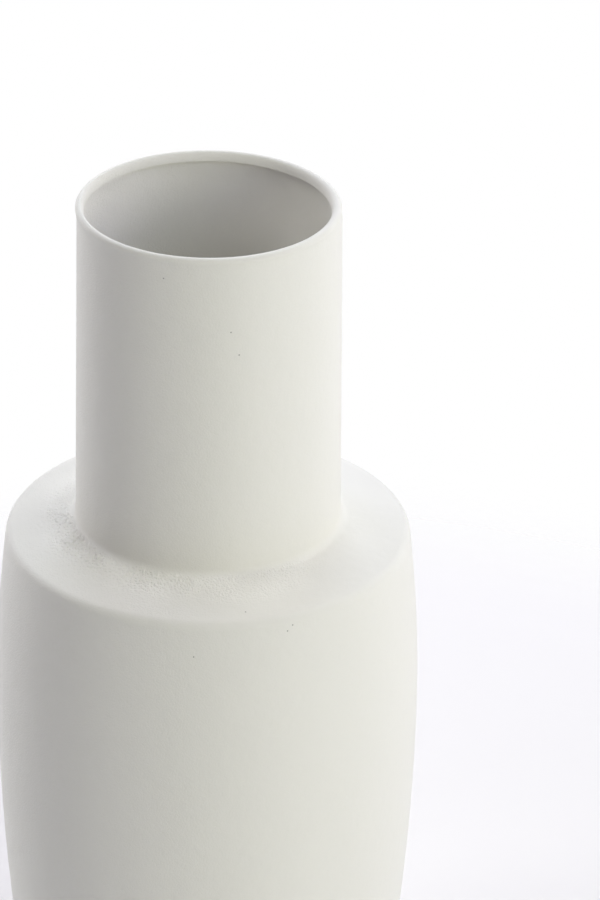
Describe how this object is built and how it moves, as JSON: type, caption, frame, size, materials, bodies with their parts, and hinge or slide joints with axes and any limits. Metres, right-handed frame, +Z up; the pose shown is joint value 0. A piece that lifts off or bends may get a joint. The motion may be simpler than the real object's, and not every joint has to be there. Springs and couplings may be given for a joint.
{
  "type": "vase",
  "caption": "Tall round sheet-metal vase with a rolled-edge neck, a sloping shoulder and a barrel-shaped body, for cut or dried stems.",
  "frame": {"origin": "on the table, under the axis of the vase", "axes": "+Z up along the vase's axis; +X and +Y towards two of the four pads"},
  "size_m": [0.21, 0.21, 0.466],
  "materials": {
    "coated_sheet": "matt powder coat, warm off-white",
    "coated_weld": "ground flush outside, matt powder coat",
    "felt_pad": "pressed felt"
  },
  "bodies": {
    "root": {"neck_tube": "coated_sheet", "neck_weld": "coated_weld", "shoulder": "coated_sheet", "shoulder_weld": "coated_weld", "body_shell": "coated_sheet", "base_weld": "coated_weld", "base_plate": "coated_sheet", "foot_pad_1": "felt_pad", "foot_pad_2": "felt_pad", "foot_pad_3": "felt_pad", "foot_pad_4": "felt_pad"}
  },
  "joints": []
}
